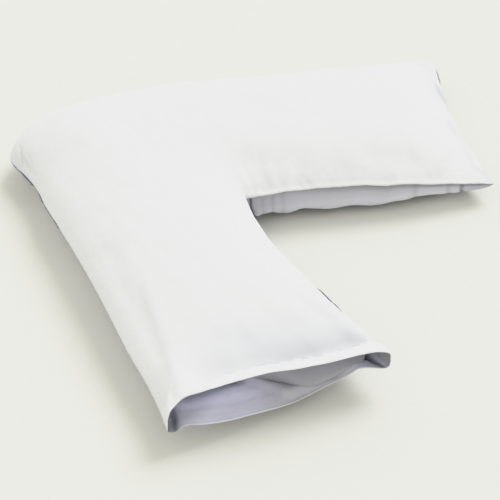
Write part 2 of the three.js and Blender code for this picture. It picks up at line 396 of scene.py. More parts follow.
def folds(p, q, table):
    """Depth of a table's folds: half a bell curve of its own width on each side of the line, fading past the
    ends over twice that width, and opening out a little towards the second end."""
    depth = np.zeros_like(p)
    for p0, q0, p1, q1, before, after, deep in zip(*table.values()):
        across, past = off_line(p, q, p0, q0, p1, q1)
        wide = np.where(across < 0, before, after)
        depth += deep * np.exp(-((across / wide) ** 2) - (past / (before + after)) ** 2)
    return depth


def ripples(p, q, wavelength, seed, waves=10):
    """Soft uneven ripples about 1 high: a sum of plane waves of random direction, phase and nearly one
    length."""
    random = np.random.default_rng(seed)
    total = np.zeros_like(p)
    for turn, phase, stretch in random.uniform((0, 0, 0.7), (math.pi, 2 * math.pi, 1.6), (waves, 3)):
        along = p * math.cos(turn) + q * math.sin(turn)
        total += np.sin(2 * math.pi * along / (wavelength * stretch) + phase)
    return total / math.sqrt(waves)


def gathers(along, away, first, last, spacing, depth, reach, seed):
    """Puckers that run in from a seam: bell-shaped grooves at uneven places along it, each with its own
    depth, width, lean and reach, fading as they leave the seam."""
    random = np.random.default_rng(seed)
    count = max(int((last - first) / spacing), 1)
    place = first + (np.arange(count) + random.uniform(0.1, 0.9, count)) * spacing
    deep = depth * random.uniform(0.2, 1.0, count)
    wide = spacing * random.uniform(0.16, 0.34, count)
    lean = random.uniform(-0.5, 0.5, count)
    far = reach * random.uniform(0.5, 1.5, count)
    total = np.zeros_like(along)
    for c, d, w, s, r in zip(place, deep, wide, lean, far):
        total += d * np.exp(-(((along - c - s * away) / (w + 0.25 * away)) ** 2) - away / r)
    return total


def top_inside(p, q):
    """Height of the top panel's inner face: from the seams up to the crown, or to the hem at the mouth.
    The closed arm's inner side rises more slowly than the others, to a knife edge."""
    left, far, inner, end = insets(p, q)
    opened = mouth_share(q, MOUTH_REACH)
    side = lerp(SIDE_SWELL, MOUTH_SWELL, opened)
    power = lerp(SIDE_POWER, 0.4, opened)
    knife = smoothstep(p, ARM - 40 * MM, ARM + 60 * MM) * (1 - smoothstep(q, ARM, ARM + 90 * MM))
    inner_side = lerp(side, KNIFE_SWELL, knife)
    inner_power = lerp(lerp(SIDE_POWER, 0.26, opened), KNIFE_POWER, knife)
    rise = swell(left, side, power) * swell(inner, inner_side, inner_power)
    rise = rise * swell(far, SIDE_SWELL, SIDE_POWER) * swell(end, END_SWELL, END_POWER)
    crown = np.minimum(read(OPEN_ARM_CROWN, "z", q), read(CLOSED_ARM_CROWN, "z", p))
    crown = lerp(crown, read(MOUTH, "hem_z", p), opened)
    seam = seam_height(p, q)
    return seam + rise * (crown - seam - troughs(p, q, TOP_HOLLOWS))


def underside_outside(p, q):
    """Height of the underside's outer face: from the seams down to the floor, lifting again to the lip.
    The left side and the closed end run in under the pillow, and the inner side drops almost straight."""
    left, far, inner, end = insets(p, q)
    opened = mouth_share(q, MOUTH_REACH / 2)
    left_power = lerp(1.0 - 0.2 * stretch_of(q, 180 * MM, 285 * MM, 25 * MM), 0.4, opened)
    foot = FOOT_INSET * (1 + 0.13 * ripples(p, q, 50 * MM, 21) + 0.3 * smoothstep(p, 560 * MM, 700 * MM))
    left_foot = lerp(52 * MM, MOUTH_SWELL, opened)
    settle = swell(left, left_foot, left_power) * swell(far, FLAT_INSET, UNDER_POWER)
    settle = settle * swell(inner, lerp(foot, MOUTH_SWELL, opened), 0.4)
    end_foot = lerp(60 * MM, 34 * MM, smoothstep(q, 230 * MM, 320 * MM))
    settle = settle * swell(end, end_foot, 0.7)
    return lerp(seam_height(p, q), read(MOUTH, "lip_z", p) * mouth_share(q, LIP_REACH), settle)


def surface(height, edge, p, q):
    """Points of a panel in the frame, as an array of x, y, z rows."""
    x, y = plan(p, q, edge)
    return np.stack([x, y, height(p, q)], axis=-1) + np.array(OUTER_CORNER)


def normals(height, edge, p, q, step=0.4 * MM):
    """Upward unit normals of a panel: the cross product of its slopes down and across the pattern."""
    low_p, high_p = np.maximum(p - step, 0), np.minimum(p + step, LEG)
    low_q, high_q = np.maximum(q - step, 0), np.minimum(q + step, LEG)
    across = surface(height, edge, high_p, q) - surface(height, edge, low_p, q)
    down = surface(height, edge, p, high_q) - surface(height, edge, p, low_q)
    normal = np.cross(down, across)
    return normal / np.linalg.norm(normal, axis=-1, keepdims=True)


def seam_inset(p, q):
    """Distance from the nearest sewn seam."""
    return np.minimum.reduce(insets(p, q))


def thickness(p, q, cloth, hem):
    """Cloth thickness: nearly doubled in the turned hem, rounded off to the seams and the mouth's edge."""
    full = cloth * (1 + 0.8 * smoothstep(q, LEG - hem - 7 * MM, LEG - hem + 4 * MM))
    edge = np.minimum(seam_inset(p, q), LEG - q)
    return full * np.maximum(swell(edge, full / 2), 0.15)


def hem_relief(p, q, hem, seed):
    """The hem's stitched line and the puckers that it draws in on both sides of it."""
    off = q - (LEG - hem)
    line = 0.7 * MM * np.exp(-((off / (1.4 * MM)) ** 2))
    puckers = gathers(p, np.abs(off), 60 * MM, ARM, 15 * MM, 2.5 * MM, 11 * MM, seed)
    return -line - puckers * smoothstep(seam_inset(p, q), 2 * MM, 12 * MM)


def seam_bead(away):
    """The rolled edge along a sewn seam: a low bead, then a faint groove where the seam's turnings end."""
    bead = 0.6 * MM * np.exp(-(((away - 1.8 * MM) / (1.3 * MM)) ** 2))
    return bead - 0.25 * MM * np.exp(-(((away - 8 * MM) / (1.6 * MM)) ** 2))


def top_relief(p, q, hem):
    """What stands off the top panel's main shape, along its normal."""
    left, far, inner, end = insets(p, q)
    away = seam_inset(p, q)
    broad = 0.8 * MM * ripples(p, q, 110 * MM, 3) + 0.28 * MM * ripples(p, q, 38 * MM, 4)
    relief = broad * smoothstep(away, 0, 30 * MM) + 0.05 * MM * ripples(p, q, 13 * MM, 5)
    closed, opened = q < ARM, p < ARM
    drawn = gathers(p, inner, ARM + 10 * MM, 520 * MM, 15 * MM, 1.6 * MM, 22 * MM, 11) * closed
    drawn = drawn + gathers(p, inner, 520 * MM, 780 * MM, 22 * MM, 1.6 * MM, 16 * MM, 12) * closed
    drawn = drawn + gathers(q, left, 180 * MM, 780 * MM, 26 * MM, 1.0 * MM, 14 * MM, 13)
    drawn = drawn + gathers(p, far, 160 * MM, 780 * MM, 28 * MM, 1.2 * MM, 18 * MM, 14)
    drawn = drawn + gathers(q, end, 10 * MM, ARM, 30 * MM, 2.6 * MM, 26 * MM, 15)
    drawn = drawn + gathers(q, inner, ARM + 10 * MM, 740 * MM, 24 * MM, 1.2 * MM, 16 * MM, 16) * opened
    drawn = drawn + folds(p, q, TOP_FOLDS)
    relief = relief - drawn * smoothstep(away, 0, 5 * MM)
    return relief + seam_bead(away) + hem_relief(p, q, hem, 17)


def underside_relief(p, q, hem):
    """What stands off the underside's main shape, along its normal."""
    left, _, inner, _ = insets(p, q)
    away = seam_inset(p, q)
    relief = 0.5 * MM * ripples(p, q, 60 * MM, 23) + 0.2 * MM * ripples(p, q, 24 * MM, 24)
    closed = q < ARM
    drawn = gathers(p, inner, ARM + 4 * MM, 470 * MM, 11 * MM, 2.0 * MM, 34 * MM, 31) * closed
    drawn = drawn + gathers(p, inner, 470 * MM, 780 * MM, 30 * MM, 2.2 * MM, 26 * MM, 32) * closed
    drawn = drawn + gathers(q, left, 60 * MM, 780 * MM, 34 * MM, 1.2 * MM, 22 * MM, 33)
    drawn = drawn + folds(p, q, UNDERSIDE_FOLDS)
    inside_edge = 1 - smoothstep(q, LEG - 22 * MM, LEG - 2 * MM)
    lip = folds(p, q, LIP_FOLDS) * smoothstep(away, 0, 8 * MM) * inside_edge
    relief = (relief + drawn) * smoothstep(away, 0, 5 * MM) - lip
    return relief - seam_bead(away) - 0.06 * hem_relief(p, q, hem, 37)


def peeps(p, q):
    """How far the underside's turned edge stands out in x and y, and how much painted shadow it carries from
    0 to 1:
    both die away as a bell curve of the drop below the seam, and the peep narrows to a point at its ends."""
    left, _, inner, end = insets(p, q)
    near = 15 * MM
    places = {
        "left": np.where(left < near, q, -1),
        "end": np.where(end < near, q, -1),
        "inner": np.where((inner < near) & (q > ARM), q, -1),
    }
    drop = seam_height(p, q) - underside_outside(p, q)
    out = np.zeros((*p.shape, 2))
    share = np.zeros_like(p)
    for seam, low, high, push_x, push_y, deep in PEEPS:
        here = stretch_of(places[seam], low, high, (high - low) / 3)
        out += (here * np.exp(-((drop / (9 * MM)) ** 2)))[..., None] * np.array([push_x, push_y])
        share = np.maximum(share, np.sqrt(here) * np.exp(-((drop / (deep * (0.15 + 0.85 * here))) ** 2)))
    return out, share


def overhang(p, q):
    """How far the closed arm's inner side bulges out below its seam: nothing at the seam, most a centimetre
    in from it, and dying away under the pillow."""
    down = np.maximum(ARM - q, 0) / (10 * MM)
    along = smoothstep(p, ARM, ARM + 25 * MM) * (1 - smoothstep(p, 560 * MM, 700 * MM))
    return 9 * MM * along * down * np.exp(1 - down)


def top_shade(p, q, hem):
    """Colour of the top panel as a share of its own white, 1 over the filling: painted shade, duller and
    cooler, where the thin cloth lies slack with nothing behind it, near the mouth, in the ear, at the outer
    corner and at the closed end, and along the hem's stitches; whiter in the doubled hem; painted light down
    the left side, and a painted highlight along the closed arm's inner seam."""
    left, _, inner, end = insets(p, q)
    # Painted shade where the cloth lies slack: near the mouth, in the ear, at the outer corner and at the
    # closed end.
    cloud = 0.85 + 0.15 * ripples(p, q, 90 * MM, 41)
    mouth = smoothstep(q, 650 * MM, 752 * MM) * lerp(0.12, 1, smoothstep(p, 50 * MM, 150 * MM))
    mouth = mouth * lerp(1, 0.75, smoothstep(p, 200 * MM, 330 * MM)) * cloud
    ear = np.exp(-(((p - 2 * MM) / (13 * MM)) ** 2) - ((q - 108 * MM) / (40 * MM)) ** 2)
    corner = 0.06 * np.exp(-((np.hypot(p, q) / (150 * MM)) ** 2))
    tail = np.exp(-((end / (24 * MM)) ** 2)) * np.clip(0.45 + 0.75 * ripples(p, q, 80 * MM, 42), 0, 1)
    painted_shade = np.clip(mouth + 0.4 * ear + corner + tail, 0, 1)
    off = q - (LEG - hem)
    patchy = 0.022 * ripples(p, q, 14 * MM, 43) + 0.015 * ripples(p, q, 45 * MM, 44)
    right = smoothstep(p, 60 * MM, 130 * MM)
    # Painted shade of the puckers along the hem's stitched line.
    stitched = right * 0.065 * np.exp(-((off / (4 * MM)) ** 2)) * (0.6 + 0.9 * ripples(p, q, 9 * MM, 45))
    in_hem = smoothstep(off + 100 * patchy * MM, -3 * MM, 3 * MM)
    # Painted light down the left flank, and a painted highlight along the closed arm's inner seam.
    painted_flank_light = 0.055 * np.exp(-((left / (50 * MM)) ** 2))
    rim = 0.09 * np.exp(-((inner / (4 * MM)) ** 2)) * (q < ARM) * smoothstep(p, ARM, ARM + 20 * MM)
    bright = lerp(1 - 0.19 * painted_shade, 1 + 0.05 * right + patchy, in_hem) - stitched
    bright = bright + painted_flank_light - troughs(p, q, TOP_PAINTED_SHADE) / (100 * MM) + rim
    # The painted shade is tinted cooler too.
    cool = 0.035 * painted_shade * (1 - in_hem)
    return np.stack([bright - 0.3 * cool, bright, bright + cool], axis=-1)


def cavity(p, q, table):
    """How much light reaches into a table's folds: an eighth less for each millimetre, down to a third."""
    return 1 - np.clip(folds(p, q, table) / (8 * MM), 0, 0.68)


def corner_dark(p, reach_left, reach_right):
    """1 at the mouth's two corners, fading as a bell curve along its edge: the mask for painted shade there.
    """
    return np.exp(-((p / reach_left) ** 2)) + np.exp(-(((ARM - p) / reach_right) ** 2))


def top_lining_shade(p):
    """Colour of the top panel's inner face, all painted shade: a lilac grey copy of its white, and dark in
    the mouth's two corners.
    """
    bright = 0.85 * (1 - 0.5 * np.clip(corner_dark(p, 22 * MM, 26 * MM), 0, 1))
    return np.stack([bright * 0.98, bright * 0.97, bright * 1.08], axis=-1)


def lining_shade(p, q):
    """Colour of the underside's inner face, all painted light and shade: painted light, light and cool, to
    the left of the mouth and deep in its left end, duller and more neutral to the right, and painted shade in
    its corners, in its folds and along its edge. A slanting line further in ends what the opening lights."""
    inner_edge = 750 * MM - 0.32 * np.maximum(p - 70 * MM, -10 * MM)
    opened = smoothstep(q, inner_edge - 16 * MM, inner_edge + 6 * MM)
    right = smoothstep(p, 120 * MM, 200 * MM)
    # Painted light where the opening lights the lining, strongest to the left; painted shade further in on
    # the right.
    left_gain = lerp(0.78, -0.12, smoothstep(q, 742 * MM, 786 * MM)) + 0.28 * smoothstep(p, 25 * MM, 65 * MM)
    lit_lip = smoothstep(q, 764 * MM, 784 * MM) * (1 - smoothstep(p, 172 * MM, 202 * MM))
    right_gain = lerp(-0.12, 0.08, smoothstep(p, 195 * MM, 300 * MM)) + 0.15 * lit_lip
    behind = 0.5 * (1 - smoothstep(p, 70 * MM, 110 * MM))
    bright = 1 + lerp(behind, lerp(left_gain, right_gain, right), opened)
    # Painted shade along the lip's edge, in the mouth's corners and in the fold at the right.
    edge = 0.12 * smoothstep(q, LEG - 7 * MM, LEG - 2 * MM)
    corners = 0.5 * opened * np.clip(corner_dark(p, 13 * MM, 3 * MM), 0, 1)
    right_fold_shade = 0.42 * opened * np.exp(-(((p - 321 * MM) / (8 * MM)) ** 2))
    bright = bright * (1 - edge) * (1 - corners) * (1 - right_fold_shade) * cavity(p, q, LIP_FOLDS)
    blue = lerp(1.05, 0.97, right) + 0.09 * smoothstep(p, 275 * MM, 300 * MM)
    return np.stack([bright, bright, bright * blue], axis=-1)


def underside_shade(p, q):
    """Colour of the underside's outer face as a share of its own lilac grey, darkened by painted shade along
    the sewn seams, where its turned edge peeps out, in its folds, along the band under the closed arm, which
    lightens a little further on, towards the closed end, and where the inner side turns under to the floor."""
    inner = insets(p, q)[2]
    # Painted shade on the band under the closed arm: darker by the notch, a little lighter further on, darker
    # at the closed end.
    band = 0.12 * (1 - smoothstep(p, 345 * MM, 430 * MM)) - 0.08 * smoothstep(p, 560 * MM, 700 * MM)
    tail = smoothstep(inner, 4 * MM, 22 * MM) * (1 - smoothstep(inner, 35 * MM, 75 * MM))
    band = band + smoothstep(p, 728 * MM, 744 * MM) * (0.16 + 0.3 * tail)
    closed = (q < ARM + 1 * MM) & (p > ARM - 60 * MM)
    bright = (1 - band * closed * np.exp(-inner / (90 * MM))) * cavity(p, q, UNDERSIDE_FOLDS)
    inner_side = closed * (1 - smoothstep(p, 680 * MM, 740 * MM))
    inner_side = inner_side + (q >= ARM + 1 * MM) * (1 - smoothstep(q, 380 * MM, 440 * MM))
    # Painted shade where the inner side turns under to the floor, darkening the shadow beneath it.
    turned_under_shade = smoothstep(inner, 16 * MM, 28 * MM) * (1 - smoothstep(inner, 60 * MM, 90 * MM))
    bright = bright * (1 - 0.65 * inner_side * turned_under_shade)
    # Painted shadow along the sewn seams and on the peeping turned edge.
    seam_shade = 0.3 * np.exp(-seam_inset(p, q) / (2.2 * MM))
    peep = peeps(p, q)[1]
    bright = bright * (1 - np.clip(0.9 * peep + seam_shade, 0, 0.91))
    return np.stack([bright, bright, bright * (1 - 0.14 * peep)], axis=-1)


def spaced(low, high, cells):
    """Grid lines from low to high that lie closer together towards both ends."""
    t = np.linspace(0, 1, cells + 1)
    return lerp(low, high, t - 0.6 * np.sin(2 * math.pi * t) / (2 * math.pi))


def pattern_lines(looks):
    """The grid lines of the pattern in p and q, with a few more at the mouth's rounded edge and stitches."""
    across = spaced(0, ARM, looks.rows_across)
    along = spaced(ARM, LEG, looks.rows_along)[1:]
    lines_p = np.concatenate([across, along])
    close = LEG - looks.cloth * np.array([0.9, 0.6, 0.3, 0.1])
    stitched = LEG - looks.hem + np.array([-1.2, 0, 1.2]) * MM
    return lines_p, np.union1d(lines_p, np.concatenate([close, stitched]))


def v_cells(lines_p, lines_q):
    """Which cells of the grid belong to the V: those that lie in either arm."""
    return (lines_p[:-1, None] < ARM - 1e-9) | (lines_q[None, :-1] < ARM - 1e-9)


def add_object(name, data):
    """A new object in the scene that shows a mesh, a light or a camera."""
    made = bpy.data.objects.new(name, data)
    bpy.context.scene.collection.objects.link(made)
    return made


def shell_mesh(name, lines_p, lines_q, upper, lower, cells):
    """A closed sheet: an upper and a lower face over the same cells, with a rim along every open edge.
    upper and lower are arrays of points on the whole grid. Returns the object, with a pattern UV map."""
    used = corners_used(cells)
    number = np.full(used.shape, -1)
    number[used] = np.arange(used.sum())
    count = used.sum()
    a, b = np.nonzero(cells)
    ring = np.stack([number[a, b], number[a, b + 1], number[a + 1, b + 1], number[a + 1, b]], axis=1)
    beyond = np.pad(cells, 1)
    open_sides = (beyond[a, b + 1], beyond[a + 1, b + 2], beyond[a + 2, b + 1], beyond[a + 1, b])
    rims = []
    for side, neighbour in enumerate(open_sides):
        start, finish = ring[~neighbour, side], ring[~neighbour, (side + 1) % 4]
        rims.append(np.stack([start + count, finish + count, finish, start], axis=1))
    rim = np.concatenate(rims)
    faces = np.concatenate([ring, ring[:, ::-1] + count, rim])
    points = np.concatenate([upper[used], lower[used]])
    mesh = bpy.data.meshes.new(name)
    mesh.from_pydata(points, [], faces.tolist())
    smooth = np.arange(len(faces)) < 2 * len(ring)
    mesh.polygons.foreach_set("use_smooth", smooth)
    grid = np.stack(np.meshgrid(lines_p, lines_q, indexing="ij"), axis=-1)[used]
    add_pattern_uv(mesh, np.concatenate([grid, grid]))
    mesh.update()
    return add_object(name, mesh)


def add_shade(mesh, shade):
    """Stores a colour for each vertex, the piece's painted light and shade, as the attribute that multiplies
    the cloth's own colour.
    """
    colour = np.ones((len(shade), 4), dtype=np.float32)
    colour[:, :3] = shade
    layer = mesh.attributes.new("shade", "FLOAT_COLOR", "POINT")
    layer.data.foreach_set("color", colour.ravel())


def add_shell_shade(mesh, upper, lower, cells):
    """Shades the vertices of a shell's upper and lower faces."""
    used = corners_used(cells)
    add_shade(mesh, np.concatenate([upper[used], lower[used]]))


def corners_used(cells):
    """Which grid points are a corner of some cell."""
    used = np.zeros((cells.shape[0] + 1, cells.shape[1] + 1), dtype=bool)
    for i, j in ((0, 0), (1, 0), (0, 1), (1, 1)):
        used[i : i + cells.shape[0], j : j + cells.shape[1]] |= cells
    return used


def add_pattern_uv(mesh, pattern):
    """Stores each vertex's place on the flat pattern, in metres, as a UV map."""
    corners = np.empty(len(mesh.loops), dtype=np.int32)
    mesh.loops.foreach_get("vertex_index", corners)
    layer = mesh.uv_layers.new(name="pattern")
    layer.data.foreach_set("uv", pattern[corners].ravel().astype(np.float32))


def socket(node, name, value):
    node.inputs[name].default_value = value


def new_material(name, roughness, specular):
    """A material with its nodes, its links and its shader."""
    material = bpy.data.materials.new(name)
    material.use_nodes = True
    nodes, links = material.node_tree.nodes, material.node_tree.links
    shader = nodes["Principled BSDF"]
    socket(shader, "Roughness", roughness)
    socket(shader, "Specular IOR Level", specular)
    return material, nodes, links, shader


def add_tint(nodes, links, amount, colour, dark):
    """A ramp from a darker share of a colour up to the colour itself."""
    tint = nodes.new("ShaderNodeValToRGB")
    tint.color_ramp.elements[0].color = (*[c * dark for c in colour], 1)
    tint.color_ramp.elements[1].color = (*colour, 1)
    links.new(amount, tint.inputs["Fac"])
    return tint


def add_bump(nodes, links, height, strength, distance):
    """A bump node that reads a height."""
    bump = nodes.new("ShaderNodeBump")
    socket(bump, "Strength", strength)
    socket(bump, "Distance", distance)
    links.new(height, bump.inputs["Height"])
    return bump


def weave_height(nodes, links, place, threads):
    """A plain weave's height: rounded warp threads where a checker is white and weft threads where it is
    black, both counted on the given coordinates at the given threads to the metre."""
    checker = nodes.new("ShaderNodeTexChecker")
    socket(checker, "Scale", threads)
    links.new(place, checker.inputs["Vector"])
    bands = []
    for direction in ("X", "Y"):
        wave = nodes.new("ShaderNodeTexWave")
        wave.wave_type = "BANDS"
        wave.bands_direction = direction
        wave.wave_profile = "SIN"
        socket(wave, "Scale", threads * math.pi / 10)
        socket(wave, "Distortion", 0.6)
        socket(wave, "Detail Scale", threads / 8)
        links.new(place, wave.inputs["Vector"])
        bands.append(wave)
    woven = nodes.new("ShaderNodeMix")
    woven.data_type = "FLOAT"
    links.new(checker.outputs["Fac"], woven.inputs[0])
    links.new(bands[0].outputs["Fac"], woven.inputs[2])
    links.new(bands[1].outputs["Fac"], woven.inputs[3])
    return woven.outputs[0]


def cotton(name, colour, patterned=True, threads=1700, crease=0.35):
    """Plain woven cotton: slightly uneven threads in the colour, times the piece's shade attribute of painted
    light and shade, with a weave bump and a soft crumple bump. patterned counts the threads on the piece's
    pattern UV map."""
    material, nodes, links, shader = new_material(name, 0.92, 0.18)
    socket(shader, "Sheen Weight", 0.06)
    socket(shader, "Sheen Roughness", 0.5)
    place = nodes.new("ShaderNodeTexCoord").outputs["Object"]
    flat = place
    if patterned:
        uv = nodes.new("ShaderNodeUVMap")
        uv.uv_map = "pattern"
        flat = uv.outputs["UV"]
    woven = weave_height(nodes, links, flat, threads)
    slub = nodes.new("ShaderNodeTexNoise")
    stretch = nodes.new("ShaderNodeMapping")
    socket(stretch, "Scale", (26, 900, 26))
    links.new(flat, stretch.inputs["Vector"])
    links.new(stretch.outputs["Vector"], slub.inputs["Vector"])
    socket(slub, "Detail", 3)
    tint = add_tint(nodes, links, slub.outputs["Fac"], colour, 0.965)
    tint.color_ramp.elements[0].position = 0.25
    tint.color_ramp.elements[1].position = 0.75
    painted_light_and_shade = nodes.new("ShaderNodeAttribute")
    painted_light_and_shade.attribute_name = "shade"
    shade = nodes.new("ShaderNodeMix")
    shade.data_type = "RGBA"
    shade.blend_type = "MULTIPLY"
    socket(shade, 0, 1.0)
    links.new(tint.outputs["Color"], shade.inputs[6])
    links.new(painted_light_and_shade.outputs["Color"], shade.inputs[7])
    links.new(shade.outputs[2], shader.inputs["Base Color"])
    crumple = nodes.new("ShaderNodeTexNoise")
    socket(crumple, "Scale", 42)
    socket(crumple, "Detail", 5)
    socket(crumple, "Roughness", 0.55)
    links.new(place, crumple.inputs["Vector"])
    soft = add_bump(nodes, links, crumple.outputs["Fac"], crease, 1.2 * MM)
    fine = add_bump(nodes, links, woven, 0.25, 0.08 * MM)
    links.new(soft.outputs["Normal"], fine.inputs["Normal"])
    links.new(fine.outputs["Normal"], shader.inputs["Normal"])
    return material


def thread(name, colour):
    """Twisted sewing thread: a fine slanting band in the bump, and painted shade, slightly darker, in the
    groove between plies.
    """
    material, nodes, links, shader = new_material(name, 0.7, 0.3)
    place = nodes.new("ShaderNodeTexCoord")
    ply = nodes.new("ShaderNodeTexWave")
    ply.bands_direction = "DIAGONAL"
    socket(ply, "Scale", 900)
    links.new(place.outputs["Object"], ply.inputs["Vector"])
    tint = add_tint(nodes, links, ply.outputs["Fac"], colour, 0.88)
    links.new(tint.outputs["Color"], shader.inputs["Base Color"])
    twist = add_bump(nodes, links, ply.outputs["Fac"], 0.3, 0.05 * MM)
    links.new(twist.outputs["Normal"], shader.inputs["Normal"])
    return material


def floor_paint(colour):
    """A smooth matt floor with the faintest cloudy unevenness."""
    material, nodes, links, shader = new_material("floor_paint", 0.8, 0.2)
    place = nodes.new("ShaderNodeTexCoord")
    cloud = nodes.new("ShaderNodeTexNoise")
    socket(cloud, "Scale", 3)
    links.new(place.outputs["Object"], cloud.inputs["Vector"])
    tint = add_tint(nodes, links, cloud.outputs["Fac"], colour, 0.985)
    links.new(tint.outputs["Color"], shader.inputs["Base Color"])
    return material


def material_for(name, make, *details):
    """The named material, made once and shared."""
    return bpy.data.materials.get(name) or make(name, *details)


def finish_piece(piece, node):
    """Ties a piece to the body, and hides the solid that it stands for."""
    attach(piece, "root")
    if node:
        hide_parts(node)


def pattern_grid(looks):
    lines_p, lines_q = pattern_lines(looks)
    p, q = np.meshgrid(lines_p, lines_q, indexing="ij")
    return lines_p, lines_q, p, q


def top_faces(p, q, looks):
    """The top panel's outer and inner faces and its normal: the main shape moved along it by the relief."""
    normal = normals(top_inside, "hem_y", p, q)
    inner = surface(top_inside, "hem_y", p, q) + normal * top_relief(p, q, looks.hem)[..., None]
    outer = inner + normal * thickness(p, q, looks.cloth, looks.hem)[..., None]
    return outer, inner, normal


def underside_faces(p, q, looks):
    """The underside's inner and outer faces and its normal, kept on or above the floor."""
    normal = normals(underside_outside, "lip_y", p, q)
    relief = underside_relief(p, q, looks.hem)
    outer = surface(underside_outside, "lip_y", p, q) + normal * relief[..., None]
    outer[..., :2] += peeps(p, q)[0]
    outer[..., 1] -= overhang(p, q)
    outer[..., 2] = np.maximum(outer[..., 2], 0)
    inner = outer + normal * thickness(p, q, looks.cloth, looks.hem)[..., None]
    return inner, outer, normal


class PILLOW_OT_case_top(bpy.types.Operator):
    """Makes the case's white top panel with its hem"""

    bl_idname = "v_pillow.case_top"
    bl_label = "Case top"

    def execute(self, context):
        looks = context.scene.v_pillow
        lines_p, lines_q, p, q = pattern_grid(looks)
        outer, inner, _ = top_faces(p, q, looks)
        cells = v_cells(lines_p, lines_q)
        piece = shell_mesh("case_top_cloth", lines_p, lines_q, outer, inner, cells)
        add_shell_shade(piece.data, top_shade(p, q, looks.hem), top_lining_shade(p), cells)
        piece.data.materials.append(material_for("white_plain_weave", cotton, tuple(looks.white)))
        finish_piece(piece, "case_top")
        return {"FINISHED"}


class PILLOW_OT_case_underside(bpy.types.Operator):
    """Makes the case's underside panel with its lip, in the lilac grey painted shade copy of the white cotton
    """

    bl_idname = "v_pillow.case_underside"
    bl_label = "Case underside"

    def execute(self, context):
        looks = context.scene.v_pillow
        lines_p, lines_q, p, q = pattern_grid(looks)
        inner, outer, _ = underside_faces(p, q, looks)
        cells = v_cells(lines_p, lines_q)
        piece = shell_mesh("case_underside_cloth", lines_p, lines_q, inner, outer, cells)
        add_shell_shade(piece.data, lining_shade(p, q), underside_shade(p, q), cells)
        piece.data.materials.append(material_for("lilac_plain_weave", cotton, tuple(looks.lilac)))
        finish_piece(piece, "case_underside")
        return {"FINISHED"}


def pillow_faces(p, q, looks):
    """The pillow's top and bottom: between the panels and clear of them, drawn together at its open-arm end,
    which slopes down into the mouth on its right side."""
    top = surface(top_inside, "hem_y", p, q)
    bottom = surface(underside_outside, "hem_y", p, q)
    bottom[..., 2] += looks.cloth + PILLOW_GAP
    top[..., 2] -= PILLOW_GAP + 2 * MM
    lean = 45 * MM * smoothstep(q, PILLOW_END - 52 * MM, PILLOW_END)
    bulge = smoothstep(p - lean, 112 * MM, 190 * MM) * (1 - smoothstep(p, 308 * MM, 338 * MM))
    middle = lerp(bottom, top, lerp(0.45, 0.02, bulge)[..., None])
    closing = swell(PILLOW_END - q, PILLOW_ROUND, lerp(0.5, 1.0, bulge))
    full = lerp(lerp(0.16, 0.1, bulge), 1, closing)[..., None]
    push = 40 * MM * bulge * smoothstep(q, PILLOW_END - 90 * MM, PILLOW_END)
    faces = []
    for face in (top, bottom):
        drawn = lerp(middle, face, full)
        drawn[..., 1] -= push
        faces.append(drawn)
    return faces


def puff(piece):
    """Fills a closed shape out as its stuffing does: evened into small squares, blown up as cloth without
    gravity, and no point moved further than the gap that was left for it."""
    remesh = piece.modifiers.new("even", "REMESH")
    remesh.mode = "VOXEL"
    remesh.voxel_size = VOXEL
    remesh.use_smooth_shade = True
    settle_mesh(piece)
    before = vertex_places(piece.data)
    cloth = piece.modifiers.new("puff", "CLOTH")
    cloth.settings.use_pressure = True
    cloth.settings.uniform_pressure_force = PUFF_PRESSURE
    cloth.settings.effector_weights.gravity = 0
    cloth.settings.bending_stiffness = 0.3
    for number in range(1, PUFF_FRAMES + 1):
        bpy.context.scene.frame_set(number)
    settle_mesh(piece)
    moved = vertex_places(piece.data) - before
    far = np.linalg.norm(moved, axis=1, keepdims=True)
    after = before + moved * np.minimum(1, PILLOW_GAP / np.maximum(far, 1e-9))
    after[:, 2] = np.maximum(after[:, 2], 2 * MM)
    piece.data.vertices.foreach_set("co", after.ravel().astype(np.float32))
    bpy.context.scene.frame_set(1)
    finer = piece.modifiers.new("finer", "SUBSURF")
    finer.levels = finer.render_levels = 1


def add_pillow_shade(mesh):
    """Darkens the pillow's cover with painted shade towards its end in the mouth, where the case closes round
    it.
    """
    deep = smoothstep(-vertex_places(mesh)[:, 1], 300 * MM, 345 * MM)
    add_shade(mesh, lerp(1, np.array(PILLOW_END_SHADE), deep[:, None]))


def vertex_places(mesh):
    places = np.empty(len(mesh.vertices) * 3, dtype=np.float32)
    mesh.vertices.foreach_get("co", places)
    return places.reshape(-1, 3).astype(float)


def settle_mesh(piece):
    """Replaces a piece's mesh with what its modifiers make of it, and takes them off."""
    depsgraph = bpy.context.evaluated_depsgraph_get()
    made = bpy.data.meshes.new_from_object(piece.evaluated_get(depsgraph), depsgraph=depsgraph)
    piece.modifiers.clear()
    piece.data = made


class PILLOW_OT_pillow(bpy.types.Operator):
    """Makes the filled pillow inside the case"""

    bl_idname = "v_pillow.pillow"
    bl_label = "Pillow"

    def execute(self, context):
        looks = context.scene.v_pillow
        lines_p, lines_q = pattern_lines(looks)
        keep_p = lines_p[(lines_p > PILLOW_INSET) & (lines_p < LEG - PILLOW_INSET)][::2]
        keep_q = lines_q[(lines_q > PILLOW_INSET) & (lines_q < PILLOW_END)][::2]
        p, q = np.meshgrid(keep_p, keep_q, indexing="ij")
        top, bottom = pillow_faces(p, q, looks)
        arm = ARM - PILLOW_INSET
        cells = (keep_p[:-1, None] < arm) | (keep_q[None, :-1] < arm)
        piece = shell_mesh("pillow_filled", keep_p, keep_q, top, bottom, cells)
        puff(piece)
        piece.data.materials.clear()
        add_pillow_shade(piece.data)
        cover = material_for("pillow_plain_weave", cotton, tuple(looks.pillow), False)
        piece.data.materials.append(cover)
        finish_piece(piece, "pillow")
        return {"FINISHED"}


